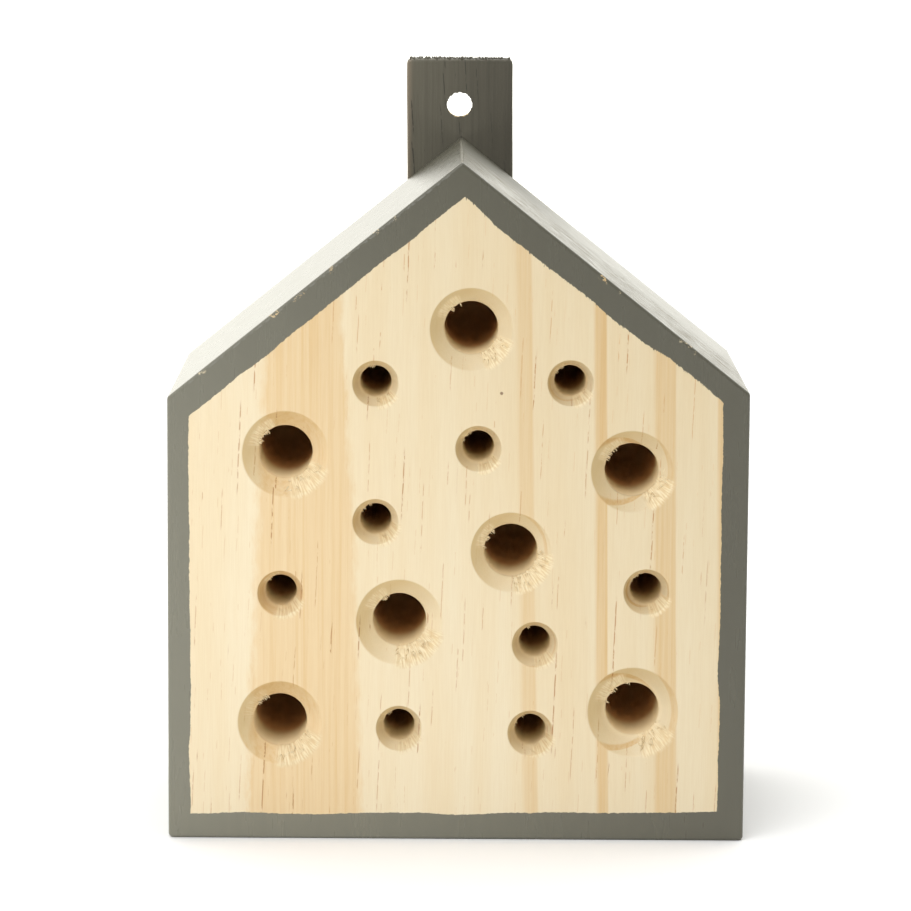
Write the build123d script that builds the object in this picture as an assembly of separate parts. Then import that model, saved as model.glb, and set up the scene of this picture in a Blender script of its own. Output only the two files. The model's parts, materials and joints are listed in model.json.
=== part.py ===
from build123d import *
import math
import os

# Insect hotel: a house-shaped block of solid pine with blind nest holes drilled in
# its front, hung up by a drilled strip that is screwed to its back.
# Millimetres. +Z is up, the nest holes open towards -Y, and the origin is at the
# bottom centre of the whole object.

# House block
front_width = 110.0
block_depth = 66.0
eave_height = 86.0
ridge_height = 130.0
edge_ease = 0.6            # radius of every sawn edge but the two below
back_arris_radius = 1.6    # radius of the two upright edges at the back

# Nest holes: blind bores with a cone at the mouth
large_bore_d = 10.2
large_mouth_angle = 90.0   # included angle of the countersink
small_bore_d = 6.0
small_mouth_d = 8.8
small_mouth_depth = 4.0
drill_tip_angle = 118.0
back_wall = 13.0           # wood left between the drill tips and the back face

# Hole centres, from the middle of the bottom edge, as drawn for a front of this size.
# They spread with the front when it is made larger or smaller.
pattern_width = 110.0
pattern_height = 130.0
large_holes = [            # (x, z, mouth diameter): each mouth is countersunk by eye
    (2.3, 98.3, 15.8),
    (-32.7, 74.4, 16.5),
    (32.9, 71.4, 15.7),
    (10.1, 55.8, 15.4),
    (-11.0, 42.2, 16.6),
    (-33.7, 22.6, 16.2),
    (33.6, 25.0, 17.5),
]
small_holes = [            # (x, z)
    (-15.7, 87.9),
    (21.1, 88.2),
    (3.8, 75.6),
    (-15.6, 61.5),
    (-33.6, 47.6),
    (35.9, 48.3),
    (14.8, 38.0),
    (-11.0, 21.6),
    (14.1, 20.8),
]

# Hanging strip
strip_width = 21.5
strip_thickness = 6.0
strip_rise = 16.0          # height of its top above the ridge
strip_length = 100.0
strip_corner_radius = 1.2
strip_edge_ease = 0.5
hanging_hole_d = 5.5
hanging_hole_drop = 9.8    # from the top of the strip down to the hole's centre

# Screws that hold the strip
screw_d = 3.0
screw_core_d = 2.0
screw_pitch = 1.35
screw_length = 20.0
screw_head_d = 6.0
screw_head_rim = 0.3
screw_smooth_neck = 3.0    # unthreaded length under the head
screw_tip_length = 2.5
screw_head_sink = 0.2      # how far the head lies below the strip's face
screw_clearance = 0.2      # radial, where the screw passes through the strip
thread_gap = 0.05          # radial, between the thread's crests and the wood
head_gap = 0.05            # between the head's cone and its seat
recess_width = 0.9
recess_length = 3.4
recess_depth = 1.2
screw_top_drop = 36.0      # from the top of the strip to the upper screw
screw_spacing = 44.0

cut_overrun = 1.0          # how far a cutting tool starts outside the wood

front_y = -(block_depth + strip_thickness) / 2
back_y = front_y + block_depth
strip_back_y = back_y + strip_thickness
strip_top_z = ridge_height + strip_rise
strip_bottom_z = strip_top_z - strip_length
hanging_hole_z = strip_top_z - hanging_hole_drop
screw_heights = [strip_top_z - screw_top_drop - i * screw_spacing for i in range(2)]
screw_head_y = strip_back_y - screw_head_sink


def on_front(x, z):
    """Place of a pattern point on the front face, as a plane that looks into the wood."""
    place = (x * front_width / pattern_width, front_y, z * ridge_height / pattern_height)
    return Plane(origin=place, z_dir=(0, 1, 0))


def nest_drill(bore_d, mouth_d, mouth_depth):
    """The space one nest hole takes, along +Z from the front face at Z = 0."""
    bore_r = bore_d / 2
    mouth_r = mouth_d / 2
    flare = (mouth_r - bore_r) / mouth_depth
    tip_depth = block_depth - back_wall
    full_depth = tip_depth - bore_r / math.tan(math.radians(drill_tip_angle / 2))
    profile = Polyline(
        (0, 0, -cut_overrun),
        (mouth_r + cut_overrun * flare, 0, -cut_overrun),
        (bore_r, 0, mouth_depth),
        (bore_r, 0, full_depth),
        (0, 0, tip_depth),
        close=True,
    )
    return revolve(make_face(profile), axis=Axis.Z)


def screw_shaft_cut(length, gap):
    """A straight round cut for a screw, along -Y from the back of the strip."""
    cuts = []
    for z in screw_heights:
        start = Plane(origin=(0, strip_back_y + cut_overrun, z), z_dir=(0, -1, 0))
        cut = Cylinder(screw_d / 2 + gap, length + cut_overrun, align=(Align.CENTER, Align.CENTER, Align.MIN))
        cuts.append(start * cut)
    return cuts


def house_block():
    half = front_width / 2
    outline = Polyline(
        (-half, 0), (half, 0), (half, eave_height), (0, ridge_height), (-half, eave_height), close=True
    )
    front = Plane(origin=(0, front_y, 0), x_dir=(1, 0, 0), z_dir=(0, -1, 0))
    block = extrude(front * make_face(outline), amount=-block_depth)

    back_arrises = block.edges().filter_by(Axis.Z).group_by(Axis.Y)[-1]
    block = fillet(back_arrises, back_arris_radius)
    rounded = block.faces().filter_by(GeomType.CYLINDER)
    sawn_edges = [e for e in block.edges() if not any(e in f.edges() for f in rounded)]
    block = fillet(sawn_edges, edge_ease)

    for x, z, mouth_d in large_holes:
        mouth_depth = (mouth_d - large_bore_d) / 2 / math.tan(math.radians(large_mouth_angle / 2))
        block -= on_front(x, z) * nest_drill(large_bore_d, mouth_d, mouth_depth)
    for x, z in small_holes:
        block -= on_front(x, z) * nest_drill(small_bore_d, small_mouth_d, small_mouth_depth)

    reach = screw_head_sink + screw_length + thread_gap
    for cut in screw_shaft_cut(reach, thread_gap):
        block -= cut
    return block


def hanging_strip():
    face = Rectangle(strip_width, strip_length)
    face = fillet(face.vertices().group_by(Axis.Y)[-1], strip_corner_radius)
    middle_z = (strip_top_z + strip_bottom_z) / 2
    back = Plane(origin=(0, strip_back_y, middle_z), x_dir=(1, 0, 0), z_dir=(0, -1, 0))
    strip = extrude(back * face, amount=strip_thickness)

    outer_edges = strip.edges().group_by(Axis.Y)
    strip = fillet(outer_edges[0] + outer_edges[-1], strip_edge_ease)

    hole = Cylinder(hanging_hole_d / 2, strip_thickness + 2 * cut_overrun)
    hole_place = Plane(origin=(0, back_y + strip_thickness / 2, hanging_hole_z), z_dir=(0, 1, 0))
    strip -= hole_place * hole

    for cut in screw_shaft_cut(strip_thickness + cut_overrun, screw_clearance):
        strip -= cut
    for z in screw_heights:
        strip -= Plane(origin=(0, strip_back_y, z), z_dir=(0, -1, 0)) * head_seat()
    return strip


def head_seat():
    """Countersink for a screw head, along +Z from the strip's back face at Z = 0."""
    head_r = screw_head_d / 2 + head_gap
    shaft_r = screw_d / 2 + screw_clearance
    rim_end = screw_head_sink + screw_head_rim + head_gap
    cone_end = rim_end + head_r - shaft_r
    profile = Polyline(
        (0, 0, -cut_overrun),
        (head_r, 0, -cut_overrun),
        (head_r, 0, rim_end),
        (shaft_r, 0, cone_end),
        (0, 0, cone_end),
        close=True,
    )
    return revolve(make_face(profile), axis=Axis.Z)


def wood_screw():
    """Countersunk screw, head at Z = 0 and point at Z = screw_length."""
    head_r = screw_head_d / 2
    crest_r = screw_d / 2
    core_r = screw_core_d / 2
    cone_end = screw_head_rim + head_r - crest_r
    thread_start = cone_end + screw_smooth_neck
    thread_end = screw_length - screw_tip_length
    turns = int((thread_end - thread_start) / screw_pitch)
    points = [(0, 0, 0), (head_r, 0, 0), (head_r, 0, screw_head_rim), (crest_r, 0, cone_end)]
    points.append((crest_r, 0, thread_start))
    for turn in range(turns):
        ring_z = thread_start + turn * screw_pitch
        points.append((core_r, 0, ring_z + screw_pitch * 0.35))
        points.append((core_r, 0, ring_z + screw_pitch * 0.65))
        points.append((crest_r, 0, ring_z + screw_pitch))
    points.append((core_r, 0, thread_end))
    points.append((0, 0, screw_length))
    screw = revolve(make_face(Polyline(*points, close=True)), axis=Axis.Z)
    for quarter_turn in (0, 90):
        slot = Box(recess_length, recess_width, 2 * recess_depth)
        screw -= Rot(0, 0, quarter_turn) * slot
    return screw


def strip_screws():
    screws = []
    for z in screw_heights:
        screws.append(Plane(origin=(0, screw_head_y, z), z_dir=(0, -1, 0)) * wood_screw())
    return Compound(children=screws)


os.makedirs("parts", exist_ok=True)
export_step(house_block(), "parts/house_block.step")
export_step(hanging_strip(), "parts/hanging_strip.step")
export_step(strip_screws(), "parts/strip_screws.step")
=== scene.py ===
import json
import math
import random

import bpy
import numpy as np
from mathutils import Matrix, Vector, noise
from mathutils.geometry import delaunay_2d_cdt


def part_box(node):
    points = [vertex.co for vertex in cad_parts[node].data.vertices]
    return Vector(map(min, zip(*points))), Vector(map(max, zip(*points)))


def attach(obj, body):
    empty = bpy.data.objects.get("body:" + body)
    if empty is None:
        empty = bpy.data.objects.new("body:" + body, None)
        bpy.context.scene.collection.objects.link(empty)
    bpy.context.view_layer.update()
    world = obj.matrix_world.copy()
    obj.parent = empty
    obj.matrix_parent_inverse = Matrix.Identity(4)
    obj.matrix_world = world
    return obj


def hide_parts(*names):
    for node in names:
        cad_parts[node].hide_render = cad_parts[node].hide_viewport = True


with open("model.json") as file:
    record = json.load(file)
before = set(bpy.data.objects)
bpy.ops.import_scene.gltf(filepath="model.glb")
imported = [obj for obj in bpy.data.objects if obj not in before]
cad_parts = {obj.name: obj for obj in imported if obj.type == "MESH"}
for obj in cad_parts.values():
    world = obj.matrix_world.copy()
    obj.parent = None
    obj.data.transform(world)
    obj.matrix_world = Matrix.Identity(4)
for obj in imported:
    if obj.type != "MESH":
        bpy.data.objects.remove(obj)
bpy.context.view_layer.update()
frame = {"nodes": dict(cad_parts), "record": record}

# Insect hotel: a house-shaped block of bare pine inside a painted border, with blind
# nest holes countersunk by eye, and a painted strip on its back to hang it by.
# Lengths are in millimetres in the CAD frame, and become metres as objects are made.

MM = 0.001
rng = random.Random(7)


# ---------------- sizes from the frame

def box_mm(node):
    low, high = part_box(node)
    return np.array(low) / MM, np.array(high) / MM


def node_points(node):
    mesh = frame["nodes"][node].data
    flat = np.zeros(len(mesh.vertices) * 3, np.float32)
    mesh.vertices.foreach_get("co", flat)
    return flat.reshape(-1, 3).astype(float) / MM


def roof_line():
    """Height of the roof's planes over the middle and over the side, from its largest triangle."""
    mesh = frame["nodes"]["house_block"].data
    slopes = [p for p in mesh.polygons if abs(p.normal.y) < 0.01 and 0.5 < p.normal.z < 0.95]
    biggest = max(slopes, key=lambda p: p.area)
    normal = np.array(biggest.normal)
    place = np.array(mesh.vertices[biggest.vertices[0]].co) / MM
    reach = normal @ place
    return reach / normal[2], (reach - abs(normal[0]) * half_width) / normal[2]


NEAR = 0.05  # what is closer than this counts as being at the place


class NestHole:
    """One blind hole: its centre on the front face and the sizes of its cone and bore."""

    def __init__(self, opening):
        low, high = (np.array(corner) / MM for corner in opening["box_m"])
        self.x = (low[0] + high[0]) / 2
        self.z = (low[2] + high[2]) / 2
        self.large = opening["name"].startswith("large")
        away = np.hypot(block_points[:, 0] - self.x, block_points[:, 2] - self.z)
        depth = block_points[:, 1] - front_y
        self.mouth_r = away[depth < 0.02].min()
        inside = away < self.mouth_r - 0.1
        self.tip_depth = depth[inside].max()
        self.bore_r = away[inside & (depth > 10)].max()
        on_bore = depth[inside & (np.abs(away - self.bore_r) < NEAR)]
        self.cone_depth = on_bore.min()
        self.straight_depth = on_bore.max()


block_low, block_high = box_mm("house_block")
strip_low, strip_high = box_mm("hanging_strip")
block_points = node_points("house_block")
half_width = block_high[0]
front_y = block_low[1]
back_y = block_high[1]
ridge_z, eave_z = roof_line()
openings = frame["record"]["physics"]["openings"]
nest_holes = [NestHole(o) for o in openings if "_nest_hole_" in o["name"]]


# ---------------- mesh building

def wobble(x, y, z, size, seed=0.0):
    """Smooth noise from about -1 to 1 with features of that size."""
    return noise.noise(Vector((x / size + seed, y / size - seed, z / size + 2 * seed)))


def smooth_step(value, low, high):
    share = np.clip((value - low) / (high - low), 0, 1)
    return share * share * (3 - 2 * share)


def new_object(name, data):
    piece = bpy.data.objects.new(name, data)
    bpy.context.scene.collection.objects.link(piece)
    return piece


SAME_POINT = 1e-6  # points closer than this are one


class Skin:
    """The points and faces of one mesh. Points may say how torn they are, how much the cut through
    the grain and painted shade darken them, and how far round a hole and down its cone they lie."""

    def __init__(self):
        self.points = []
        self.values = {"torn": [], "cut": [], "around": [], "slant": []}
        self.faces = []
        self.flat = set()  # numbers of the faces shaded flat

    def loop(self, points, **values):
        """Adds points, none of them in front of the front face, and returns their numbers."""
        start = len(self.points)
        self.points.extend((float(x), max(float(y), front_y), float(z)) for x, y, z in points)
        for name, kept in self.values.items():
            kept.extend(values.get(name) or [0.0] * len(points))
        return list(range(start, len(self.points)))

    def band(self, near, far, inward=False):
        """Quads between two loops that turn anticlockwise seen from the front."""
        count = len(near)
        for i in range(count):
            k = (i + 1) % count
            quad = (near[i], far[i], far[k], near[k])
            self.faces.append(quad[::-1] if inward else quad)

    def bands(self, loops, inward=False):
        for near, far in zip(loops, loops[1:]):
            self.band(near, far, inward)

    def fan(self, ring, apex, inward=False):
        count = len(ring)
        for i in range(count):
            k = (i + 1) % count
            triangle = (ring[i], apex, ring[k])
            self.faces.append(triangle[::-1] if inward else triangle)

    def flat_place(self, i):
        return self.points[i][0], self.points[i][2]

    def circle_round(self, loop):
        """Centre and radius of the circle round a loop, in x and z."""
        ring = np.array([self.flat_place(i) for i in loop])
        centre = ring.mean(0)
        return centre, np.hypot(*(ring - centre).T).max()

    def fill(self, outline, holes, y, spacing, facing_front):
        """Triangles at one depth between an outline and the loops of its holes, shaded flat."""
        loops = [outline, *holes]
        known = [i for loop in loops for i in loop]
        flat = [self.flat_place(i) for i in known]
        edges, start = [], 0
        for loop in loops:
            count = len(loop)
            edges.extend((start + i, start + (i + 1) % count) for i in range(count))
            start += count
        rim = np.array(flat[:len(outline)])
        inner = grid_inside(rim, [self.circle_round(loop) for loop in holes], spacing)
        indices = self.loop([(x, y, z) for x, z in inner])
        flat.extend((float(x), float(z)) for x, z in inner)
        known.extend(indices)
        corners = [Vector(p) for p in flat]
        _, _, triangles, origins, _, _ = delaunay_2d_cdt(corners, edges, [], 0, SAME_POINT)
        to_mesh = [known[o[0]] for o in origins]
        loop_of = {i: number for number, loop in enumerate(holes) for i in loop}
        for triangle in triangles:
            face = tuple(to_mesh[i] for i in triangle)
            owners = {loop_of.get(i, -1) for i in face}
            if len(owners) == 1 and owners != {-1}:
                continue  # it spans the inside of one hole
            self.flat.add(len(self.faces))
            self.faces.append(face if facing_front else face[::-1])

    def make(self, name, material):
        mesh = bpy.data.meshes.new(name)
        mesh.from_pydata([(x * MM, y * MM, z * MM) for x, y, z in self.points], [], self.faces)
        for value, kept in self.values.items():
            attribute = mesh.attributes.new(value, "FLOAT", "POINT")
            attribute.data.foreach_set("value", np.array(kept, np.float32))
        smooth = [number not in self.flat for number in range(len(self.faces))]
        mesh.polygons.foreach_set("use_smooth", smooth)
        mesh.materials.append(material)
        mesh.validate()
        return new_object(name, mesh)


ROW_STEP = 0.866  # height of an even-sided triangle over its side
GRID_JITTER = 0.15
RIM_ROOM, HOLE_ROOM = 0.45, 0.4  # how far grid points stay from edges, in spacings


def grid_inside(rim, rounds, spacing):
    """Points of a triangular grid inside a convex rim and outside round holes."""
    low, high = rim.min(0), rim.max(0)
    rows = np.arange(low[1], high[1], spacing * ROW_STEP)
    points = []
    for number, z in enumerate(rows):
        shift = spacing / 2 * (number % 2)
        points.extend((x, z) for x in np.arange(low[0] + shift, high[0], spacing))
    points = np.array(points)
    shifts = [[rng.uniform(-GRID_JITTER, GRID_JITTER) * spacing for _ in range(2)] for _ in points]
    points += np.array(shifts)
    following = np.roll(rim, -1, 0)
    run = following - rim
    length = np.hypot(*run.T)
    keep = np.ones(len(points), bool)
    for start, along, size in zip(rim, run, length):
        if size < SAME_POINT:
            continue
        offset = points - start
        side = (along[0] * offset[:, 1] - along[1] * offset[:, 0]) / size
        keep &= side > spacing * RIM_ROOM
    for centre, radius in rounds:
        keep &= np.hypot(*(points - centre).T) > radius + spacing * HOLE_ROOM
    return points[keep]


def rounded_outline(corners, radii, spacing, corner_steps=5):
    """Points and outward directions round a convex polygon, anticlockwise from the front."""
    corners = [np.array(c, float) for c in corners]
    count = len(corners)
    turns = []
    for i, (corner, radius) in enumerate(zip(corners, radii)):
        into = corner - corners[i - 1]
        away = corners[(i + 1) % count] - corner
        into /= np.hypot(*into)
        away /= np.hypot(*away)
        turn = math.acos(np.clip(into @ away, -1, 1))
        setback = radius * math.tan(turn / 2)
        turns.append((corner, into, away, turn, setback))
    places, directions = [], []
    for i, (corner, into, away, turn, setback) in enumerate(turns):
        radius = radii[i]
        first = np.array((into[1], -into[0]))
        centre = corner - into * setback - first * radius
        for step in range(corner_steps + 1):
            angle = turn * step / corner_steps
            c, s = math.cos(angle), math.sin(angle)
            direction = np.array((first[0] * c - first[1] * s, first[0] * s + first[1] * c))
            places.append(centre + direction * radius)
            directions.append(direction)
        following = turns[(i + 1) % count]
        start = corner + away * setback
        end = following[0] - following[1] * following[4]
        steps = max(2, round(np.hypot(*(end - start)) / spacing))
        for step in range(1, steps):
            places.append(start + (end - start) * step / steps)
            directions.append(directions[-1])
    return np.array(places), np.array(directions)


def ring_points(x, z, radius, y, count):
    angles = [2 * math.pi * i / count for i in range(count)]
    return [(x + radius * math.cos(a), y, z + radius * math.sin(a)) for a in angles]


# ---------------- material helper

class Nodes:
    """Short calls for building one node material."""

    def __init__(self, name):
        self.material = bpy.data.materials.new(name)
        self.material.use_nodes = True
        self.tree = self.material.node_tree
        self.shader = self.tree.nodes["Principled BSDF"]
        self.place = self.add("ShaderNodeTexCoord").outputs["Object"]

    def add(self, kind, inputs=None, **settings):
        node = self.tree.nodes.new(kind)
        for key, value in settings.items():
            setattr(node, key, value)
        for key, value in (inputs or {}).items():
            self.put(node.inputs[key], value)
        return node

    def put(self, socket, value):
        if isinstance(value, bpy.types.NodeSocket):
            self.tree.links.new(value, socket)
        elif isinstance(value, tuple) and socket.type == "RGBA" and len(value) == 3:
            socket.default_value = (*value, 1)
        else:
            socket.default_value = value

    def shade(self, name, value):
        self.put(self.shader.inputs[name], value)

    def math(self, operation, a, b=0.0):
        return self.add("ShaderNodeMath", {0: a, 1: b}, operation=operation).outputs[0]

    def plus(self, a, b):
        return self.math("ADD", a, b)

    def minus(self, a, b):
        return self.math("SUBTRACT", a, b)

    def times(self, a, b):
        return self.math("MULTIPLY", a, b)

    def sway(self, pattern, width):
        """A pattern from 0 to 1 turned into an offset to both sides of 0."""
        return self.times(self.minus(pattern, 0.5), width)

    def step(self, value, low, high):
        """0 below low, 1 above high, smooth between. Low may be the larger one."""
        inputs = {"Value": value, "From Min": min(low, high), "From Max": max(low, high),
                  "To Min": float(low > high), "To Max": float(low <= high)}
        return self.add("ShaderNodeMapRange", inputs, interpolation_type="SMOOTHSTEP").outputs[0]

    def mix(self, share, a, b, blend="MIX"):
        inputs = {"Factor": share, "A": a, "B": b}
        return self.add("ShaderNodeMix", inputs, data_type="RGBA", blend_type=blend).outputs["Result"]

    def stretched(self, sizes, turn=None):
        """Object coordinates, turned by angles in degrees, divided by a size in mm along each axis."""
        place = self.place
        if turn:
            angles = tuple(math.radians(a) for a in turn)
            place = self.add("ShaderNodeMapping", {"Vector": place, "Rotation": angles}).outputs[0]
        scales = tuple(1 / (size * MM) for size in sizes)
        return self.add("ShaderNodeMapping", {"Vector": place, "Scale": scales}).outputs[0]

    def noise(self, sizes, detail=2.0, roughness=0.5, turn=None, distortion=0.0):
        inputs = {"Vector": self.stretched(sizes, turn), "Scale": 1, "Detail": detail,
                  "Roughness": roughness, "Distortion": distortion}
        return self.add("ShaderNodeTexNoise", inputs).outputs["Fac"]

    def axes(self):
        """x, y and z of the surface in millimetres."""
        return self.add("ShaderNodeSeparateXYZ", {0: self.stretched((1, 1, 1))}).outputs

    def bump(self, height, distance, strength=1.0, normal=None):
        inputs = {"Strength": strength, "Distance": distance * MM, "Height": height}
        if normal is not None:
            inputs["Normal"] = normal
        return self.add("ShaderNodeBump", inputs).outputs[0]

    def attribute(self, name):
        return self.add("ShaderNodeAttribute", attribute_name=name).outputs["Fac"]


def srgb(red, green, blue):
    """Linear colour from the usual 0 to 255 values."""
    def linear(value):
        share = value / 255
        return share / 12.92 if share <= 0.04045 else ((share + 0.055) / 1.055) ** 2.4
    return tuple(linear(v) for v in (red, green, blue))


# ---------------- pine and paint

PITH_X, PITH_Y = -27.5, front_y + 150  # the tree's centre line, behind the block
RING_WANDER = 0.5  # how far the growth rings stray, in mm
RING_LEAN = -0.006  # added to their measured radius per mm below this height
RING_MIDDLE_Z = 60.0
# Latewood bands: (where each ends on the front face in x, width in mm there, strength)
LATEWOOD = [(14.9, 2.8, 0.6), (28.5, 2.3, 0.95), (41.4, 4.0, 0.7), (50.8, 1.5, 0.85)]
# Heartwood: its middle beside the pith, its half width at a height, and how fast that grows
HEART_X, HEART_HALF, HEART_Z, HEART_FLARE = -1.6, 7.6, 95.0, 0.045
# Resin lines: ((mm apart, mm long), half width in mm, colour, strength)
RESIN = [((6.0, 34), 0.11, (176, 118, 62), 0.75),
         ((4.6, 20), 0.085, (194, 142, 88), 0.55),
         ((2.4, 7), 0.07, (212, 172, 120), 0.35)]
SPECK = (8.1, 86.2)  # x and z of one dark speck
PALE_PINE, WARM_PINE = srgb(243, 229, 198), srgb(240, 222, 186)
HEART_COLOUR, LATEWOOD_COLOUR = srgb(235, 208, 163), srgb(227, 192, 135)


def from_pith(nodes, x, y, z):
    """Distance to the pith sideways, and the radius of the growth ring there."""
    across = nodes.minus(x, PITH_X)
    back = nodes.minus(PITH_Y, y)
    squares = nodes.plus(nodes.times(across, across), nodes.times(back, back))
    stray = nodes.sway(nodes.noise((14, 14, 160), detail=1.0), RING_WANDER)
    radius = nodes.plus(nodes.math("SQRT", squares), stray)
    lean = nodes.times(nodes.minus(RING_MIDDLE_Z, z), RING_LEAN)
    return across, nodes.plus(radius, lean)


def heartwood(nodes, colour, across, z):
    """A tan band at the pith's side of the board, wider towards the bottom, with blotchy edges."""
    below = nodes.minus(HEART_Z, z)
    spread = nodes.plus(nodes.times(below, HEART_FLARE), HEART_HALF)
    wander = nodes.sway(nodes.noise((9, 9, 45)), 3.0)
    off = nodes.math("ABSOLUTE", nodes.plus(nodes.minus(across, HEART_X), wander))
    blotch = nodes.sway(nodes.noise((1.6, 1.6, 5), detail=4.0, roughness=0.65), 4.0)
    inside = nodes.step(nodes.plus(nodes.minus(spread, off), blotch), -0.9, 1.5)
    streaks = nodes.noise((0.9, 0.9, 70), roughness=0.6)
    tan = nodes.mix(nodes.step(streaks, 0.35, 0.8), HEART_COLOUR, LATEWOOD_COLOUR)
    return nodes.mix(nodes.times(inside, 0.8), colour, tan)


def latewood(nodes, colour, radius):
    """Orange bands, sharp on their outer side as the year's growth ends."""
    for end_x, width, strength in LATEWOOD:
        outer = math.hypot(end_x - PITH_X, PITH_Y - front_y)
        inner = math.hypot(end_x - width - PITH_X, PITH_Y - front_y)
        rise = nodes.step(radius, inner - 0.2, inner + 0.2)
        fall = nodes.step(radius, outer + 0.08, outer - 0.08)
        lines = nodes.step(nodes.noise((0.5, 0.5, 60)), 0.3, 0.8)
        share = nodes.times(nodes.times(rise, fall), nodes.plus(nodes.times(lines, 0.4), 0.6))
        colour = nodes.mix(nodes.times(share, strength), colour, LATEWOOD_COLOUR)
    return colour


def pine_colour(nodes, x, y, z):
    """Colour of bare pine, from rings about the pith, fine grain and short resin lines, with painted
    shade towards the top right.
    """
    across, radius = from_pith(nodes, x, y, z)
    clouds = nodes.step(nodes.noise((6, 6, 120)), 0.3, 0.75)
    colour = nodes.mix(clouds, PALE_PINE, WARM_PINE)
    colour = heartwood(nodes, colour, across, z)
    colour = latewood(nodes, colour, radius)

    # Painted shade: darker towards the top right, where the light falls off across the face
    tone = nodes.plus(nodes.times(x, 0.5 / half_width), nodes.times(z, 0.9 / ridge_z))
    shaded_pine = nodes.mix(1.0, colour, (0.78, 0.755, 0.7), "MULTIPLY")
    colour = nodes.mix(nodes.step(tone, -0.2, 1.2), colour, shaded_pine)
    fine = nodes.noise((0.22, 0.22, 7), detail=3.0, roughness=0.65)
    shade = nodes.mix(nodes.step(fine, 0.3, 0.7), srgb(252, 250, 247), (1, 1, 1))
    colour = nodes.mix(1.0, colour, shade, "MULTIPLY")

    from_speck = [nodes.minus(value, at) for value, at in zip((x, z), SPECK)]
    squares = [nodes.times(off, off) for off in from_speck]
    speck = nodes.step(nodes.plus(*squares), 0.14, 0.04)
    colour = nodes.mix(nodes.times(speck, 0.75), colour, srgb(104, 66, 40))
    for cell, half_thick, dark, strength in RESIN:
        colour = resin_lines(nodes, colour, cell, half_thick, srgb(*dark), strength)
    return colour


def resin_lines(nodes, colour, cell, half_thick, dark, strength, lean=-2.4):
    """Thin dark lines along the grain, leaning a little, at most one in each cell of a pattern."""
    apart, length = cell
    place = nodes.stretched((apart, apart, length), (0, lean, 0))
    cells = nodes.add("ShaderNodeTexVoronoi", {"Vector": place, "Scale": 1})
    places = {0: place, 1: cells.outputs["Position"]}
    offset = nodes.add("ShaderNodeVectorMath", places, operation="SUBTRACT")
    parts = nodes.add("ShaderNodeSeparateXYZ", {0: offset.outputs[0]})
    chance = nodes.add("ShaderNodeSeparateColor", {0: cells.outputs["Color"]})
    wave = nodes.sway(nodes.noise((3, 3, 6)), 0.3 / apart)
    side = nodes.math("ABSOLUTE", nodes.plus(parts.outputs["X"], wave))
    thin = nodes.step(side, half_thick / apart * 1.6, half_thick / apart * 0.4)
    reach = nodes.times(chance.outputs["Green"], 0.42)
    ends = nodes.step(nodes.minus(reach, nodes.math("ABSOLUTE", parts.outputs["Z"])), 0.0, 0.08)
    broken = nodes.step(nodes.noise((0.4, 0.4, 1.6), detail=2.0), 0.38, 0.52)
    some = nodes.step(chance.outputs["Red"], 0.45, 0.6)
    share = nodes.times(nodes.times(thin, ends), nodes.times(some, broken))
    return nodes.mix(nodes.times(share, strength), colour, dark)


# The saw cut the roof a little askew: heights over the eaves' and ridge's, and the ridge's x
LEFT_EAVE, RIGHT_EAVE = -0.95, 0.4
RIDGE_X, RIDGE_DROP = 0.4, -0.2
# Painted border on the front face: width of the paint along each side
BORDER_LEFT, BORDER_RIGHT = 4.15, 5.0
BORDER_BOTTOM_LEFT, BORDER_BOTTOM_RIGHT = 4.6, 5.7
BORDER_ROOF_LEFT, BORDER_ROOF_RIGHT = 5.35, 5.3


class FromEdges:
    """How far a point is inside each side of the house outline, in mm."""

    def __init__(self, nodes, x, z):
        self.left = nodes.plus(x, half_width)
        self.right = nodes.minus(half_width, x)
        self.bottom = z
        self.roofs = []
        for side, uneven in ((1, LEFT_EAVE), (-1, RIGHT_EAVE)):
            run = half_width + side * RIDGE_X
            rise = (ridge_z + RIDGE_DROP - eave_z - uneven) / run
            over_ridge = nodes.times(nodes.minus(x, RIDGE_X), side * rise)
            height = nodes.plus(over_ridge, ridge_z + RIDGE_DROP)
            self.roofs.append(nodes.times(nodes.minus(height, z), 1 / math.hypot(rise, 1)))


# The right roof border is narrower by this much: by the eave, and at the apex
EAVE_NARROWER, APEX_NARROWER = 0.95, 0.7
BORDER_TEETH = 0.55  # length of the paint's teeth on that border
BORDER_WAVE, BORDER_RAG = 1.1, 0.4  # slow and quick unevenness of the brushed edge


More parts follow.
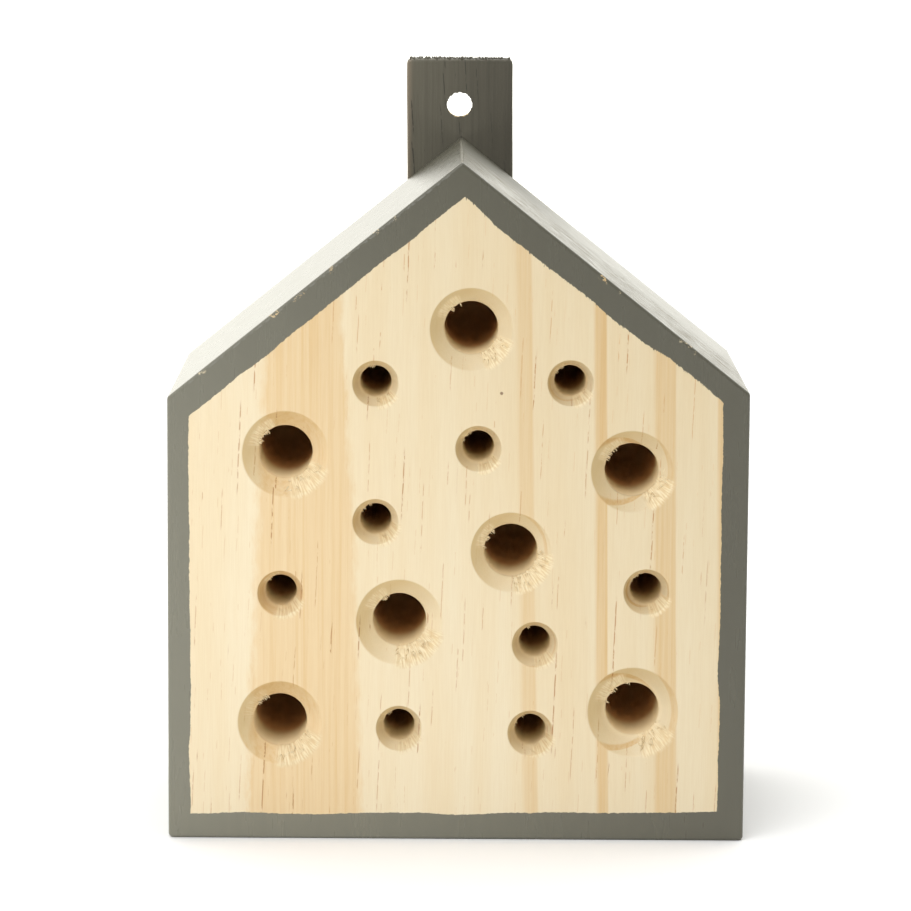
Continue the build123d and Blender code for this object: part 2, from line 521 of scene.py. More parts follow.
def paint_share(nodes, edges, x, y):
    """1 on painted wood and 0 on bare wood: brushed by hand, with a wavy, ragged edge."""
    slope = (BORDER_BOTTOM_RIGHT - BORDER_BOTTOM_LEFT) / (2 * half_width)
    middle = (BORDER_BOTTOM_LEFT + BORDER_BOTTOM_RIGHT) / 2
    bottom = nodes.minus(edges.bottom, nodes.times(x, slope))
    bottom = nodes.minus(bottom, middle)
    roof_left = nodes.minus(edges.roofs[0], BORDER_ROOF_LEFT)
    roof_right = nodes.minus(edges.roofs[1], BORDER_ROOF_RIGHT)
    narrower = nodes.plus(nodes.times(nodes.step(x, 34, 40), EAVE_NARROWER),
                          nodes.times(nodes.step(x, 8, 3), APEX_NARROWER))
    roof_right = nodes.plus(roof_right, narrower)
    teeth = nodes.step(nodes.noise((0.28, 0.28, 2.2), roughness=0.7), 0.5, 0.85)
    roof_right = nodes.minus(roof_right, nodes.times(teeth, BORDER_TEETH))
    right = nodes.minus(edges.right, BORDER_RIGHT)
    inner = nodes.minus(edges.left, BORDER_LEFT)
    for edge in (right, bottom, roof_left, roof_right):
        inner = nodes.math("MINIMUM", inner, edge)
    slow = nodes.sway(nodes.noise((11, 11, 11), detail=1.0), BORDER_WAVE)
    quick = nodes.sway(nodes.noise((0.7, 0.7, 0.9), detail=3.0), BORDER_RAG)
    painted = nodes.step(nodes.plus(inner, nodes.plus(slow, quick)), 0.05, -0.05)
    behind = nodes.step(y, back_y - 6, back_y - 5.5)
    return nodes.math("MAXIMUM", painted, behind)


def shred_noise(nodes, wide, long):
    """Noise drawn out down the cone of each hole, in the distances kept on its points."""
    across = nodes.math("DIVIDE", nodes.attribute("around"), wide)
    down = nodes.math("DIVIDE", nodes.attribute("slant"), long)
    place = nodes.add("ShaderNodeCombineXYZ", {"X": across, "Y": down})
    return nodes.add("ShaderNodeTexNoise", {"Vector": place.outputs[0], "Scale": 1}).outputs["Fac"]


SHRED_WIDE, SHRED_LONG = 0.34, 2.2  # shreds on the torn cones, in mm
BORE_WALL = (2.5, 5.0)  # depths over which a bore's wall takes its own colour
SHADED_BORE_DEPTHS = (11.0, 18.0)  # depths over which it turns browner: painted shade deep in the bore
# The bore wall's own colour, and the browner painted shade deep in the bore
WALL_COLOUR, SHADED_BORE_COLOUR = srgb(252, 234, 196), srgb(232, 192, 146)
# Grey paint in painted shade and in painted light, and the browner worn paint on the saw lines
PAINT_IN_SHADE, PAINT_IN_LIGHT, WORN_COAT = srgb(86, 84, 71), srgb(131, 129, 114), srgb(134, 123, 99)
WOOD_ROUGH, PAINT_ROUGH = 0.62, 0.24
FURROW_ROUGH, DULL_BY_STRIP = 0.32, 0.26  # what each adds to the paint's roughness at most


def bare_wood(nodes, x, y, z, depth):
    """Pine, with cut grain and painted shade on the cones, cream where torn, warmer on the bores' walls,
    and browner deep in the bores as painted shade.
    """
    pine = pine_colour(nodes, x, y, z)
    # Cut grain and painted shade on the cones
    cut_and_shaded_pine = nodes.mix(1.0, pine, srgb(232, 222, 198), "MULTIPLY")
    pine = nodes.mix(nodes.attribute("cut"), pine, cut_and_shaded_pine)
    shreds = nodes.step(shred_noise(nodes, SHRED_WIDE, SHRED_LONG), 0.4, 0.62)
    cream = nodes.mix(shreds, srgb(226, 202, 157), srgb(244, 229, 193))
    pine = nodes.mix(nodes.times(nodes.attribute("torn"), 0.85), pine, cream)
    pine = nodes.mix(nodes.step(depth, *BORE_WALL), pine, WALL_COLOUR)
    # Painted shade: browner deep in the bore
    return nodes.mix(nodes.step(depth, *SHADED_BORE_DEPTHS), pine, SHADED_BORE_COLOUR)


def chipped(nodes, painted, edges, depth):
    """The share of paint left by the chips along the front edges of the roof."""
    rim = nodes.math("MINIMUM", edges.roofs[0], edges.roofs[1])
    at_edge = nodes.step(nodes.plus(rim, depth), 1.1, 0.5)
    rare = nodes.step(nodes.noise((3.2, 3.2, 3.2), detail=1.0), 0.62, 0.66)
    crumbs = nodes.step(nodes.noise((0.6, 0.6, 0.6), detail=3.0, roughness=0.7), 0.5, 0.56)
    chips = nodes.times(at_edge, nodes.times(rare, crumbs))
    return nodes.times(painted, nodes.minus(1.0, chips))


def paint_colour(nodes, x, z, brush):
    """Grey paint with brush marks, lighter towards the lower left and darker towards the top right:
    painted light and shade.
    """
    # Painted light and shade: lighter at the lower left, darker at the top right
    light_falloff = nodes.minus(nodes.times(x, -0.6 / half_width), nodes.times(z, 0.8 / ridge_z))
    paint = nodes.mix(nodes.step(light_falloff, -1.0, 0.6), PAINT_IN_SHADE, PAINT_IN_LIGHT)
    marked = nodes.mix(0.9, paint, (0.96, 0.96, 0.96), "MULTIPLY")
    return nodes.mix(nodes.step(brush, 0.3, 0.75), paint, marked)


def saw_furrows(nodes, on_slope, depth):
    """Saw lines along the right-hand slope, strongest on its front part."""
    slope_angle = math.degrees(math.atan2(ridge_z - eave_z, half_width))
    saw = nodes.noise((4.5, 0.7, 4.5), detail=3.0, roughness=0.65, turn=(0, slope_angle, 0))
    near_front = nodes.plus(nodes.times(nodes.step(depth, 46, 26), 0.8), 0.2)
    lines = nodes.times(nodes.step(saw, 0.42, 0.62), on_slope)
    return nodes.times(lines, near_front)


def block_material():
    nodes = Nodes("painted_pine")
    x, y, z = nodes.axes()
    edges = FromEdges(nodes, x, z)
    depth = nodes.minus(y, front_y)
    pine = bare_wood(nodes, x, y, z, depth)
    painted = chipped(nodes, paint_share(nodes, edges, x, y), edges, depth)
    brush = nodes.noise((2.2, 2.2, 18), detail=3.0, roughness=0.6)
    paint = paint_colour(nodes, x, z, brush)
    on_slope = nodes.times(nodes.step(edges.roofs[1], 0.5, 0.3), nodes.step(depth, 0.8, 1.2))
    furrows = saw_furrows(nodes, on_slope, depth)
    paint = nodes.mix(nodes.times(furrows, 0.4), paint, WORN_COAT)
    nodes.shade("Base Color", nodes.mix(painted, pine, paint))

    by_strip = nodes.times(nodes.step(x, 28, 4), nodes.step(depth, 20, 55))
    duller = nodes.times(by_strip, DULL_BY_STRIP)
    roughness = nodes.plus(nodes.times(painted, PAINT_ROUGH - WOOD_ROUGH), WOOD_ROUGH)
    roughness = nodes.plus(roughness, nodes.times(brush, 0.08))
    roughness = nodes.plus(roughness, nodes.times(furrows, FURROW_ROUGH))
    roughness = nodes.plus(roughness, nodes.times(on_slope, duller))
    nodes.shade("Roughness", roughness)

    grain = nodes.noise((0.25, 0.25, 9), detail=3.0, roughness=0.6)
    coat = nodes.noise((0.6, 0.6, 1.8))
    bare = nodes.minus(1.0, painted)
    height = nodes.plus(nodes.times(grain, nodes.times(bare, 0.6)), nodes.times(coat, 0.15))
    surface = nodes.bump(height, 0.05, 0.6)
    nodes.shade("Normal", nodes.bump(painted, 0.05, 0.5, surface))
    return nodes.material


def strip_material():
    nodes = Nodes("painted_strip_wood")
    x, y, _ = nodes.axes()
    grain = nodes.noise((0.7, 0.7, 30), detail=3.0, roughness=0.6, distortion=0.4)
    # Painted shade: the paint is darker towards the strip's right-hand side, away from the light
    side = nodes.step(x, strip_low[0], strip_high[0])
    colour = nodes.mix(side, srgb(102, 98, 83), srgb(81, 77, 64))
    shaded = nodes.mix(1.0, colour, (0.82, 0.82, 0.82), "MULTIPLY")
    colour = nodes.mix(nodes.step(grain, 0.3, 0.75), colour, shaded)

    # Worn brown along its left front edge
    brown = nodes.step(x, strip_low[0] + 1.6, strip_low[0] + 0.2)
    brown = nodes.times(brown, nodes.step(y, strip_front_y + 2.5, strip_front_y + 0.5))
    colour = nodes.mix(nodes.times(brown, 0.6), colour, srgb(140, 124, 104))

    # Open grain on its wide faces, and torn bare wood in the hanging hole
    plain = colour
    for cell, thick in (((3.6, 26), 0.11), ((2.4, 12), 0.08)):
        colour = resin_lines(nodes, colour, cell, thick, srgb(48, 46, 38), 0.85, lean=4.0)
    on_side = nodes.step(nodes.math("ABSOLUTE", x), strip_high[0] - 0.7, strip_high[0] - 0.3)
    colour = nodes.mix(on_side, colour, plain)
    crumbs = nodes.step(nodes.noise((0.4, 0.4, 0.6), detail=3.0), 0.4, 0.6)
    bare = nodes.mix(crumbs, srgb(204, 174, 114), srgb(238, 220, 170))
    nodes.shade("Base Color", nodes.mix(nodes.attribute("torn"), colour, bare))
    roughness = nodes.plus(nodes.times(grain, 0.2), 0.5)
    nodes.shade("Roughness", roughness)
    nodes.shade("Normal", nodes.bump(grain, 0.12, 0.5))
    return nodes.material


def zinc_material():
    nodes = Nodes("zinc_plate")
    patches = nodes.noise((0.8, 0.8, 0.8), detail=4.0)
    colour = nodes.mix(patches, srgb(176, 176, 172), srgb(206, 206, 204))
    roughness = nodes.plus(nodes.times(patches, 0.25), 0.25)
    nodes.shade("Base Color", colour)
    nodes.shade("Metallic", 1.0)
    nodes.shade("Roughness", roughness)
    nodes.shade("Normal", nodes.bump(patches, 0.02, 0.5))
    return nodes.material


def fibre_material():
    nodes = Nodes("torn_pine")
    tone = nodes.step(nodes.noise((0.6, 0.6, 1.0)), 0.3, 0.7)
    colour = nodes.mix(tone, srgb(226, 203, 160), srgb(243, 228, 192))
    nodes.shade("Base Color", colour)
    nodes.shade("Roughness", 0.75)
    return nodes.material


# ---------------- torn wood

class Tear:
    """Where the countersink tore the wood of one mouth: a window of angles and its strength."""

    def __init__(self, middle, half_width_deg, strength):
        self.middle = math.radians(middle)
        self.half = math.radians(half_width_deg)
        self.strength = strength

    def at(self, angle):
        off = abs((angle - self.middle + math.pi) % (2 * math.pi) - math.pi)
        return self.strength * float(smooth_step(1 - off / self.half, 0.0, 0.45))


# The lower and the upper tear of a mouth: limits of its middle, half width and strength
LARGE_TEARS = (((-58, -34), (32, 52), (0.45, 1.0)), ((132, 150), (30, 44), (0.6, 0.95)))
SMALL_TEARS = (((-66, -38), (32, 56), (0.4, 0.95)), ((118, 142), (28, 42), (0.4, 0.8)))


def tears_of(hole):
    kinds = LARGE_TEARS if hole.large else SMALL_TEARS
    return [Tear(*(rng.uniform(*limits) for limits in kind)) for kind in kinds]


# How far torn wood stands proud, in mm: (ridges along the grain, lumps, sunk by)
LOWER_PROUD, UPPER_PROUD = (0.26, 0.24, 0.04), (0.16, 0.12, 0.02)
RIDGE_SIZE, LUMP_SIZE = 0.7, 1.3
TOOL_MARKS = 0.02  # unevenness of the whole cut


def torn_depths(hole, lower, upper, angle, radius, depth):
    """(how far a point stands proud of the smooth cut, its torn value)."""
    cone = hole.mouth_r - hole.bore_r
    slant = hole.mouth_r - radius if depth < hole.cone_depth else cone + depth - hole.cone_depth
    # The lower tear reaches from the rim into the bore, the upper one starts inside the cone
    low_reach = smooth_step(slant, -0.9, -0.1) * smooth_step(slant, cone + 2.2, cone + 0.4)
    up_reach = smooth_step(slant, cone * 0.1, cone * 0.5) * smooth_step(slant, cone + 1.2, cone + 0.3)
    low = lower.at(angle) * float(low_reach)
    up = upper.at(angle) * float(up_reach)
    along = angle * radius
    ridges = wobble(along, slant * 0.15, 0, RIDGE_SIZE, hole.x)
    lumps = wobble(along, slant, 7, LUMP_SIZE, hole.z)
    proud = TOOL_MARKS * wobble(along, slant, 11, RIDGE_SIZE, hole.x)
    for torn, (by_ridges, by_lumps, sunk) in ((low, LOWER_PROUD), (up, UPPER_PROUD)):
        proud += torn * (by_ridges * ridges + by_lumps * lumps - sunk)
    return proud, max(low, 0.55 * up)


def splinter(skin, base, direction, normal, size, curl):
    """One tapered fibre: a flat four-sided spike of three rings and a tip."""
    length, width, thick = size
    side = np.cross(direction, normal)
    rings = []
    for step in range(3):
        share = step / 3
        middle = base + direction * length * share + normal * curl * share ** 2
        wide = side * width / 2 * (1 - share) ** 0.6
        deep = normal * thick / 2 * (1 - 0.5 * share)
        rings.append(skin.loop([middle + wide, middle + deep, middle - wide, middle - deep]))
    tip = skin.loop([base + direction * length + normal * curl])[0]
    for near, far in zip(rings, rings[1:]):
        for i in range(4):
            k = (i + 1) % 4
            skin.faces.append((near[i], near[k], far[k], far[i]))
    for i in range(4):
        skin.faces.append((rings[-1][i], rings[-1][(i + 1) % 4], tip))
    skin.faces.append(tuple(rings[0][::-1]))


def cone_place(hole, angle, share):
    """Point on the smooth cut, its direction up the cone to the mouth, and its normal out of the wood."""
    narrowing = hole.mouth_r - hole.bore_r
    radius = hole.mouth_r - narrowing * min(share, 1)
    depth = hole.cone_depth * share
    outward = np.array((math.cos(angle), 0, math.sin(angle)))
    place = np.array((hole.x, front_y + depth, hole.z)) + outward * radius
    slope = np.array((outward[0] * narrowing, -hole.cone_depth, outward[2] * narrowing))
    slope /= np.linalg.norm(slope)
    normal = np.cross(slope, np.cross(slope, outward))
    normal /= np.linalg.norm(normal)
    return place, slope, normal


# Shreds on the lower tear and tufts on the upper one
LARGE_FIBRES, SMALL_FIBRES = (44, 5), (14, 3)
SMALL_SCALE = 0.72  # size of the small holes' fibres over the large holes'
# Where fibres start, in shares of the way down the cone
SHRED_STARTS, TUFT_STARTS = (0.35, 1.15), (0.85, 1.08)
# Limits of their length, width and thickness on a large hole, in mm
SHRED_SIZE = ((0.6, 1.8), (0.18, 0.42), (0.08, 0.18))
TUFT_SIZE = ((0.35, 0.9), (0.14, 0.34), (0.06, 0.14))


def shred(skin, hole, tear, scale):
    """One fibre on the torn cone, pointing up it more or less, and ending at the mouth's plane."""
    angle = tear.middle + tear.half * 0.85 * rng.uniform(-1, 1)
    place, slope, normal = cone_place(hole, angle, rng.uniform(*SHRED_STARTS))
    around = np.cross(normal, slope)
    turn = rng.gauss(0, 0.5)
    direction = slope * math.cos(turn) + around * math.sin(turn)
    room = (place[1] - front_y) / max(0.3, -direction[1])
    lengths, widths, thicks = SHRED_SIZE
    length = min(scale * rng.uniform(*lengths), room)
    size = (length, scale * rng.uniform(*widths), rng.uniform(*thicks))
    splinter(skin, place - normal * 0.02, direction, normal, size, rng.uniform(0.02, 0.2) * length)


def tuft(skin, hole, tear, scale):
    """A few fibres that hang over the bore's edge."""
    middle = tear.middle + tear.half * 0.75 * rng.uniform(-1, 1)
    lengths, widths, thicks = TUFT_SIZE
    for _ in range(rng.randint(2, 5)):
        angle = middle + rng.gauss(0, 0.07)
        place, slope, _ = cone_place(hole, angle, rng.uniform(*TUFT_STARTS))
        inward = np.array((-math.cos(angle), 0, -math.sin(angle)))
        down = np.array((0.3, 0, -0.6)) * rng.uniform(0, 1)
        direction = inward * 0.7 - slope * 0.6 + down
        direction /= np.linalg.norm(direction)
        lift = np.cross(np.cross(direction, (0, 1, 0)), direction)
        lift /= np.linalg.norm(lift)
        size = (scale * rng.uniform(*lengths), scale * rng.uniform(*widths), rng.uniform(*thicks))
        splinter(skin, place, direction, lift, size, rng.uniform(-0.1, 0.15))


def hole_fibres(skin, hole, lower, upper):
    shreds, tufts = LARGE_FIBRES if hole.large else SMALL_FIBRES
    scale = 1.0 if hole.large else SMALL_SCALE
    for _ in range(round(shreds * lower.strength)):
        shred(skin, hole, lower, scale)
    for _ in range(tufts):
        tuft(skin, hole, upper, scale)


# ---------------- nest block

# Points round each kind of hole
LARGE_SEGMENTS, SMALL_SEGMENTS = 176, 112
PILOT_SEGMENTS, SEAT_SEGMENTS, HANG_SEGMENTS = 32, 48, 96
RIM_STEPS = (1.5, 0.9, 0.45, 0.15)  # flat rings round each mouth, on the front face
BORE_STEPS = (0.25, 0.6, 1.1, 1.8, 2.8, 4.2, 6.5, 10, 16, 26)
CONE_ROWS = 13
SEAM = math.radians(60)  # where the distance round a hole starts and ends


def nest_hole(skin, hole, lower, upper):
    """Cone and bore of one nest hole. Returns its outermost loop, on the front face."""
    segments = LARGE_SEGMENTS if hole.large else SMALL_SEGMENTS
    rows = [(hole.mouth_r + step, 0.0) for step in RIM_STEPS]
    for row in range(CONE_ROWS + 1):
        share = row / CONE_ROWS
        rows.append((hole.mouth_r + (hole.bore_r - hole.mouth_r) * share, hole.cone_depth * share))
    rows.extend((hole.bore_r, hole.cone_depth + step) for step in BORE_STEPS)
    rows.append((hole.bore_r, hole.straight_depth))
    rows.append((hole.bore_r / 2, (hole.straight_depth + hole.tip_depth) / 2))
    slant = math.hypot(hole.mouth_r - hole.bore_r, hole.cone_depth)
    first = before = None
    for radius, depth in rows:
        if depth == 0:
            inward, forward = 0.0, 1.0
        elif depth <= hole.cone_depth:
            inward, forward = hole.cone_depth / slant, (hole.mouth_r - hole.bore_r) / slant
        else:
            inward, forward = 1.0, 0.0
        points, torns, cuts, arounds = [], [], [], []
        for place in ring_points(hole.x, hole.z, radius, front_y + depth, segments):
            angle = math.atan2(place[2] - hole.z, place[0] - hole.x)
            proud, torn = 0.0, 0.0
            if first is not None and depth < hole.cone_depth + 3:
                proud, torn = torn_depths(hole, lower, upper, angle, radius, depth)
            shift = proud * inward
            points.append((place[0] - shift * math.cos(angle), place[1] - proud * forward,
                           place[2] - shift * math.sin(angle)))
            torns.append(float(smooth_step(torn, 0.12, 0.6)))
            arounds.append(((angle - SEAM) % (2 * math.pi)) * hole.mouth_r)
            # Cut grain and painted shade: darkest at the upper left of the cone, the side turned away
            # from the light, and by its rim
            on_cone = first is not None and 0 < depth < hole.cone_depth + 0.3
            rim_side = 1.2 - 0.5 * depth / hole.cone_depth
            cuts.append(max(0.0, 0.5 - 0.65 * math.cos(angle + 0.65)) * rim_side if on_cone else 0.0)
        down = hole.mouth_r - radius + max(0.0, depth - hole.cone_depth)
        ring = skin.loop(points, torn=torns, cut=cuts, around=arounds, slant=[down] * segments)
        if before is not None:
            skin.band(before, ring, inward=True)
        first = first or ring
        before = ring
    apex = skin.loop([(hole.x, front_y + hole.tip_depth, hole.z)])[0]
    skin.fan(before, apex, inward=True)
    return first


EDGE_EASE = 0.6
ARRIS_EASE = 1.6  # the two upright edges at the back
EASE_STEPS = 5
CORNER, RIDGE_CORNER = 0.9, 0.65  # rounding of the outline's corners, more than EDGE_EASE
OUTLINE_STEP = 0.6  # between points along the outline
FRONT_GRID, BACK_GRID = 1.2, 3.0  # between points inside the flat faces
# Depths of the rows of points along the sides, between the eased edges
SIDE_ROWS = (1.2, 2.2, 4, 7, 11, 16, 22, 29, 36, 43, 49, 54, 58, 61, 63)


def eased(share_steps):
    """(inset, depth) shares round a quarter circle, from the face to the side."""
    turns = [math.pi / 2 * step / share_steps for step in range(share_steps + 1)]
    return [(1 - math.sin(turn), 1 - math.cos(turn)) for turn in turns]


def side_rings(ease, back_ease, steps, rows, depth):
    """(inset, depth) of each loop from the front face's edge to the back face's."""
    rings = [(ease * inset, ease * deep) for inset, deep in eased(steps)]
    rings += [(0.0, y) for y in rows]
    return rings + [(back_ease * inset, depth - back_ease * deep) for inset, deep in eased(steps)[::-1]]


def shell(skin, places, directions, rings, y):
    """Loops of an outline at several depths behind y, skinned together. Returns the first and last."""
    loops = []
    for inset, deep in rings:
        flat = places - directions * np.broadcast_to(inset, len(places))[:, None]
        deep = np.broadcast_to(deep, len(places))
        loops.append(skin.loop([(x, y + d, z) for (x, z), d in zip(flat, deep)]))
    skin.bands(loops)
    return loops[0], loops[-1]


def pocket(skin, x, z, profile, segments):
    """A round hole skinned along its (radius, y) profile, front to back. Returns its loops."""
    loops = [skin.loop(ring_points(x, z, radius, y, segments)) for radius, y in profile]
    skin.bands(loops, inward=True)
    return loops


# Heights of the two screws, one head's radius in from the ends of the box round both
screw_low, screw_high = box_mm("strip_screws")
screw_heights = (screw_low[2] + screw_high[0], screw_high[2] - screw_high[0])


def near_axis(points, z):
    """How far points are from a screw's axis, and which of them belong to its hole."""
    away = np.hypot(points[:, 0], points[:, 2] - z)
    return away, (away < 4) & (away > 0.5)


def pilot_holes(skin):
    """The two screw holes in the block's back. Returns their loops on the back face."""
    mouths = []
    for z in screw_heights:
        away, near = near_axis(block_points, z)
        wall = near & (block_points[:, 1] > back_y - 20)
        radius = away[wall].min()
        bottom = block_points[wall, 1].min()
        loops = pocket(skin, 0, z, [(radius, bottom), (radius, back_y)], PILOT_SEGMENTS)
        centre = skin.loop([(0, bottom, z)])[0]
        skin.fan(loops[0], centre, inward=False)
        mouths.append(loops[-1])
    return mouths


def nest_block(fibres):
    skin = Skin()
    corners = [(-half_width, 0), (half_width, 0), (half_width, eave_z + RIGHT_EAVE),
               (RIDGE_X, ridge_z + RIDGE_DROP), (-half_width, eave_z + LEFT_EAVE)]
    radii = [CORNER, CORNER, CORNER, RIDGE_CORNER, CORNER]
    places, directions = rounded_outline(corners, radii, OUTLINE_STEP)
    upright = (np.abs(directions[:, 0]) > 0.999).astype(float)
    from_ends = np.minimum(places[:, 1], eave_z - places[:, 1])
    back_ease = EDGE_EASE + (ARRIS_EASE - EDGE_EASE) * upright * smooth_step(from_ends, 0.9, 6)
    rings = side_rings(EDGE_EASE, back_ease, EASE_STEPS, SIDE_ROWS, back_y - front_y)
    front, back = shell(skin, places, directions, rings, front_y)
    mouths = []
    for hole in nest_holes:
        lower, upper = tears_of(hole)
        mouths.append(nest_hole(skin, hole, lower, upper))
        hole_fibres(fibres, hole, lower, upper)
    skin.fill(front, mouths, front_y, FRONT_GRID, True)
    skin.fill(back, pilot_holes(skin), back_y, BACK_GRID, False)
    piece = skin.make("nest_block", block_material())
    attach(piece, "root")
    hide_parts("house_block")


# ---------------- hanging strip

STRIP_EASE, STRIP_EASE_STEPS = 0.5, 4
STRIP_ROWS = (1.2, 2.2, 3.2, 4.4)
STRIP_CORNER = 1.2
STRIP_OUTLINE_STEP, STRIP_GRID = 0.4, 1.0
FUZZ = 0.45  # how far the sawn top lies below the CAD's, for the fibres
FIBRE_FOOT = 0.5  # how deep in the wood those fibres start
STRIP_DRIFT = 0.3  # how far it stands to the right below its top
TOP_FIBRES = 330
# Rows down the hanging hole: (depth, how ragged, how torn)
HOLE_ROWS = [(0, 0.35, 0.0), (0.3, 0.3, 0.5), (0.9, 0.2, 1), (2.2, 0.1, 1), (4.4, 0.1, 1)]
strip_front_y = strip_low[1]
strip_back_y = strip_high[1]
strip_thickness = strip_back_y - strip_front_y


def hanging_hole(skin):
    """The hole that the strip hangs by, ragged at its front. Returns its first and last loops."""
    mount = next(m for m in frame["record"]["mounts"] if m["name"] == "hanging_hole")
    radius = mount["dims"]["r_mm"]
    centre_z = mount["pos_m"][2] / MM
    loops = []
    for depth, rag, torn in HOLE_ROWS + [(strip_thickness, 0.1, 0)]:
        points = []
        for x, y, z in ring_points(0, centre_z, radius, strip_front_y + depth, HANG_SEGMENTS):
            out = 1 - rag / radius * (0.5 + 0.9 * abs(wobble(x, depth * 0.3, z, 0.6, 5)))
            points.append((x * out, y, centre_z + (z - centre_z) * out))
        loops.append(skin.loop(points, torn=[torn] * len(points)))
    skin.bands(loops, inward=True)
    return loops[0], loops[-1]


def screw_seats(skin):
    """Countersunk screw holes through the strip. Returns (first, last) loops of each."""
    points = node_points("hanging_strip")
    seats = []
    for z in screw_heights:
        away, near = near_axis(points, z)
        shaft = away[near & (points[:, 1] < strip_front_y + 0.1)].min()
        head = away[near & (points[:, 1] > strip_back_y - 0.1)].min()
        cone_end = points[near & (away < shaft + NEAR), 1].max()
        rim_end = points[near & (away > head - NEAR), 1].min()
        profile = [(shaft, strip_front_y), (shaft, cone_end), (head, rim_end), (head, strip_back_y)]
        loops = pocket(skin, 0, z, profile, SEAT_SEGMENTS)
        seats.append((loops[0], loops[-1]))
    return seats


def hanging_strip(fibres):
    skin = Skin()
    top = strip_high[2] - FUZZ
    half = strip_high[0]
    corners = [(-half, strip_low[2]), (half, strip_low[2]), (half, top), (-half, top)]
    places, directions = rounded_outline(corners, [STRIP_CORNER] * 4, STRIP_OUTLINE_STEP)
    for i, (x, z) in enumerate(places):
        inset = 0.05 + 0.05 * wobble(x, 0, z, 4, 3)
        if z > top - 0.4:
            inset += 0.16 + 0.22 * wobble(x, 0, z, 0.8, 9) + 0.12 * wobble(x, 0, z, 3.0, 9)
        drift = STRIP_DRIFT * float(smooth_step(top - z, 0, 40))
        places[i] = (x + drift, z) - directions[i] * max(0.0, inset)
    rings = side_rings(STRIP_EASE, STRIP_EASE, STRIP_EASE_STEPS, STRIP_ROWS, strip_thickness)
    front, back = shell(skin, places, directions, rings, strip_front_y)
    hole_front, hole_back = hanging_hole(skin)
    seats = screw_seats(skin)
    skin.fill(front, [hole_front] + [first for first, _ in seats], strip_front_y, STRIP_GRID, True)
    skin.fill(back, [hole_back] + [last for _, last in seats], strip_back_y, STRIP_GRID, False)
    piece = skin.make("strip_body", strip_material())
    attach(piece, "root")
    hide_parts("hanging_strip")
    top_fuzz(fibres, top, half)


def top_fuzz(fibres, top, half):
    """Short fibres standing on the strip's sawn top."""
    for _ in range(TOP_FIBRES):
        x = rng.uniform(-half + 0.6, half - 0.6)
        y = rng.uniform(strip_front_y + 0.12, strip_back_y - 0.3)
        direction = np.array((rng.gauss(0, 0.25), rng.gauss(0, 0.2), 1.0))
        direction /= np.linalg.norm(direction)
        length = rng.uniform(0.5, FUZZ + 0.45)
        size = (length, rng.uniform(0.15, 0.5), rng.uniform(0.08, 0.2))
        splinter(fibres, np.array((x, y, top - FIBRE_FOOT)), direction, np.array((0, 1.0, 0)), size, 0.0)


nest_fibres, strip_fibres = Skin(), Skin()
nest_block(nest_fibres)
hanging_strip(strip_fibres)
torn = nest_fibres.make("torn_fibres", fibre_material())
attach(torn, "root")
fuzz = strip_fibres.make("strip_top_fibres", bpy.data.materials["painted_strip_wood"])
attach(fuzz, "root")
screws = frame["nodes"]["strip_screws"]
screws.data.materials.clear()
screws.data.materials.append(zinc_material())


# ---------------- floor, light and camera

# These are in metres
FLOOR_HALF = 1.2
KEY_PLACE = (-0.3, -0.67, 0.82)
KEY_TARGET = (0, 0, 0.06)
KEY_SIZE = (0.7, 0.7)
KEY_POWER = 5.4  # watts


def floor():
    """A pale floor that ends behind the object."""
    mesh = bpy.data.meshes.new("studio_floor")
    half = FLOOR_HALF
    corners = [(-half, -half, 0), (half, -half, 0), (half, half, 0), (-half, half, 0)]
    mesh.from_pydata(corners, [], [(0, 1, 2, 3)])
    nodes = Nodes("floor_paint")
    nodes.shade("Base Color", (0.95, 0.95, 0.95))
    nodes.shade("Roughness", 0.8)
    mesh.materials.append(nodes.material)
    piece = new_object("studio_floor", mesh)


def soft_light(name, place, target, size, power):
    lamp = bpy.data.lights.new(name, "AREA")
    lamp.shape = "RECTANGLE"
    lamp.size, lamp.size_y = size
    lamp.energy = power
    source = new_object(name, lamp)
    source.location = place
    source.rotation_mode = "QUATERNION"
    source.rotation_quaternion = (Vector(target) - Vector(place)).to_track_quat("-Z", "Y")


# How bright the room is in front of and behind the object, and its warmer colour behind. It
# changes from one to the other over these directions in y
FRONT_WORLD, BACK_WORLD = 0.37, 2.0
BACK_COLOUR = (1, 0.985, 0.91, 1)
CHANGE_FROM, CHANGE_TO = -0.6, 0.7


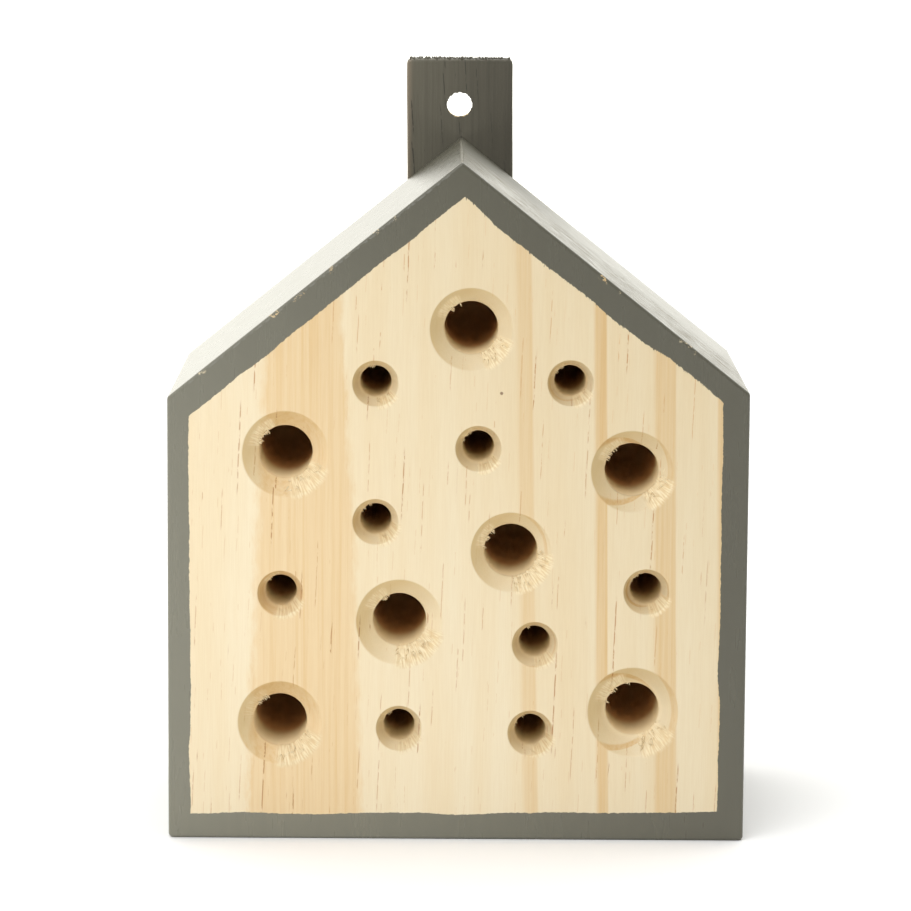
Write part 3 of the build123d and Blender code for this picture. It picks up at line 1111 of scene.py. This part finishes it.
def studio_light():
    world = bpy.data.worlds.new("white_room")
    world.use_nodes = True
    tree = world.node_tree
    place = tree.nodes.new("ShaderNodeTexCoord")
    parts = tree.nodes.new("ShaderNodeSeparateXYZ")
    spread = tree.nodes.new("ShaderNodeMapRange")
    tree.links.new(place.outputs["Generated"], parts.inputs[0])
    tree.links.new(parts.outputs["Y"], spread.inputs["Value"])
    warmth = tree.nodes.new("ShaderNodeMix")
    warmth.data_type = "RGBA"
    warmth.inputs["A"].default_value = (1, 1, 1, 1)
    warmth.inputs["B"].default_value = BACK_COLOUR
    tree.links.new(parts.outputs["Y"], warmth.inputs["Factor"])
    tree.links.new(warmth.outputs["Result"], tree.nodes["Background"].inputs["Color"])
    limits = {"From Min": CHANGE_FROM, "From Max": CHANGE_TO, "To Min": FRONT_WORLD, "To Max": BACK_WORLD}
    for key, value in limits.items():
        spread.inputs[key].default_value = value
    tree.links.new(spread.outputs[0], tree.nodes["Background"].inputs["Strength"])
    bpy.context.scene.world = world
    soft_light("key", KEY_PLACE, KEY_TARGET, KEY_SIZE, KEY_POWER)


FOCAL_MM, SENSOR_MM = 165.97, 36.0
AZIMUTH, ELEVATION, ROLL = -0.134, 8.495, 0.379  # degrees
AIM = Vector((-0.52, front_y, 74.31))  # on the front face
DISTANCE = 793.34


def camera():
    azimuth, elevation, roll = (math.radians(a) for a in (AZIMUTH, ELEVATION, ROLL))
    turn = Matrix.Rotation(azimuth, 3, "Z")
    forward = turn @ Vector((0, math.cos(elevation), -math.sin(elevation)))
    right = turn @ Vector((1, 0, 0))
    up = right.cross(forward)
    lens = bpy.data.cameras.new("camera")
    lens.lens = FOCAL_MM
    lens.sensor_width = SENSOR_MM
    lens.clip_start, lens.clip_end = 0.05, 20
    view = new_object("camera", lens)
    across = right * math.cos(roll) + up * math.sin(roll)
    above = up * math.cos(roll) - right * math.sin(roll)
    matrix = Matrix((across, above, -forward)).transposed().to_4x4()
    matrix.translation = (AIM - forward * DISTANCE) * MM
    view.matrix_world = matrix
    bpy.context.scene.camera = view


floor()
studio_light()
camera()
bpy.context.scene.view_settings.view_transform = "Standard"
